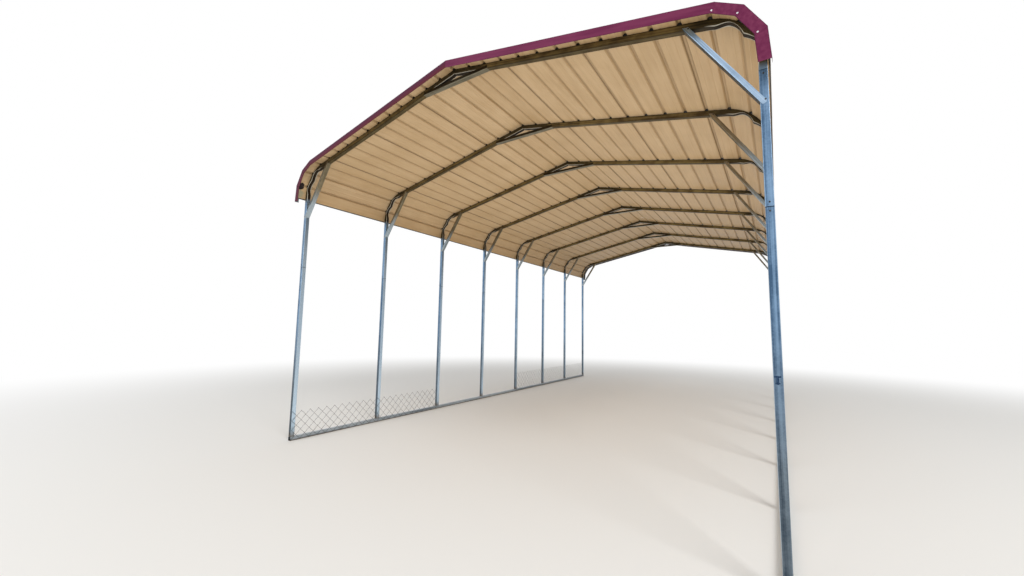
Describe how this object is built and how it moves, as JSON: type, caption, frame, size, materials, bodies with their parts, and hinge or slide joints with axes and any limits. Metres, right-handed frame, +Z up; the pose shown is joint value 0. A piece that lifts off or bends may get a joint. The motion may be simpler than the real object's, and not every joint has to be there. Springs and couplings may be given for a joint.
{
  "type": "open steel carport",
  "caption": "Open steel carport: galvanised tube bows and posts with knee and peak braces under a tan ribbed sheet roof with rounded eaves and burgundy gable trim.",
  "frame": {"origin": "on the ground, at the centre of the footprint, under the middle of the ridge", "axes": "+Z up, +Y along the ridge towards the back, +X to the right seen from the front"},
  "size_m": [6.1558, 10.9746, 4.7234],
  "materials": {
    "galvanised_tube": "hot-dip galvanised, dull, slightly mottled",
    "galvanised_channel": "galvanised sheet channel, satin",
    "painted_sheet": "tan factory paint on ribbed sheet, semi-matt, slightly dusty",
    "painted_trim": "burgundy factory paint, satin"
  },
  "bodies": {
    "root": {"base_rail_left": "galvanised_tube", "base_rail_right": "galvanised_tube", "posts_1": "galvanised_tube", "posts_2": "galvanised_tube", "posts_3": "galvanised_tube", "posts_4": "galvanised_tube", "posts_5": "galvanised_tube", "posts_6": "galvanised_tube", "posts_7": "galvanised_tube", "posts_8": "galvanised_tube", "bow_1": "galvanised_tube", "bow_2": "galvanised_tube", "bow_3": "galvanised_tube", "bow_4": "galvanised_tube", "bow_5": "galvanised_tube", "bow_6": "galvanised_tube", "bow_7": "galvanised_tube", "bow_8": "galvanised_tube", "knee_braces_1": "galvanised_channel", "knee_braces_2": "galvanised_channel", "knee_braces_3": "galvanised_channel", "knee_braces_4": "galvanised_channel", "knee_braces_5": "galvanised_channel", "knee_braces_6": "galvanised_channel", "knee_braces_7": "galvanised_channel", "knee_braces_8": "galvanised_channel", "peak_braces": "galvanised_channel", "ridge_sheet": "painted_sheet", "roof_sheet_left_1": "painted_sheet", "roof_sheet_left_2": "painted_sheet", "roof_sheet_right_1": "painted_sheet", "roof_sheet_right_2": "painted_sheet", "roof_sheet_right_3": "painted_sheet", "eave_sheet_left": "painted_sheet", "eave_sheet_right": "painted_sheet", "gable_trim_front_left": "painted_trim", "gable_trim_front_right": "painted_trim", "gable_trim_back_left": "painted_trim", "gable_trim_back_right": "painted_trim"}
  },
  "joints": []
}
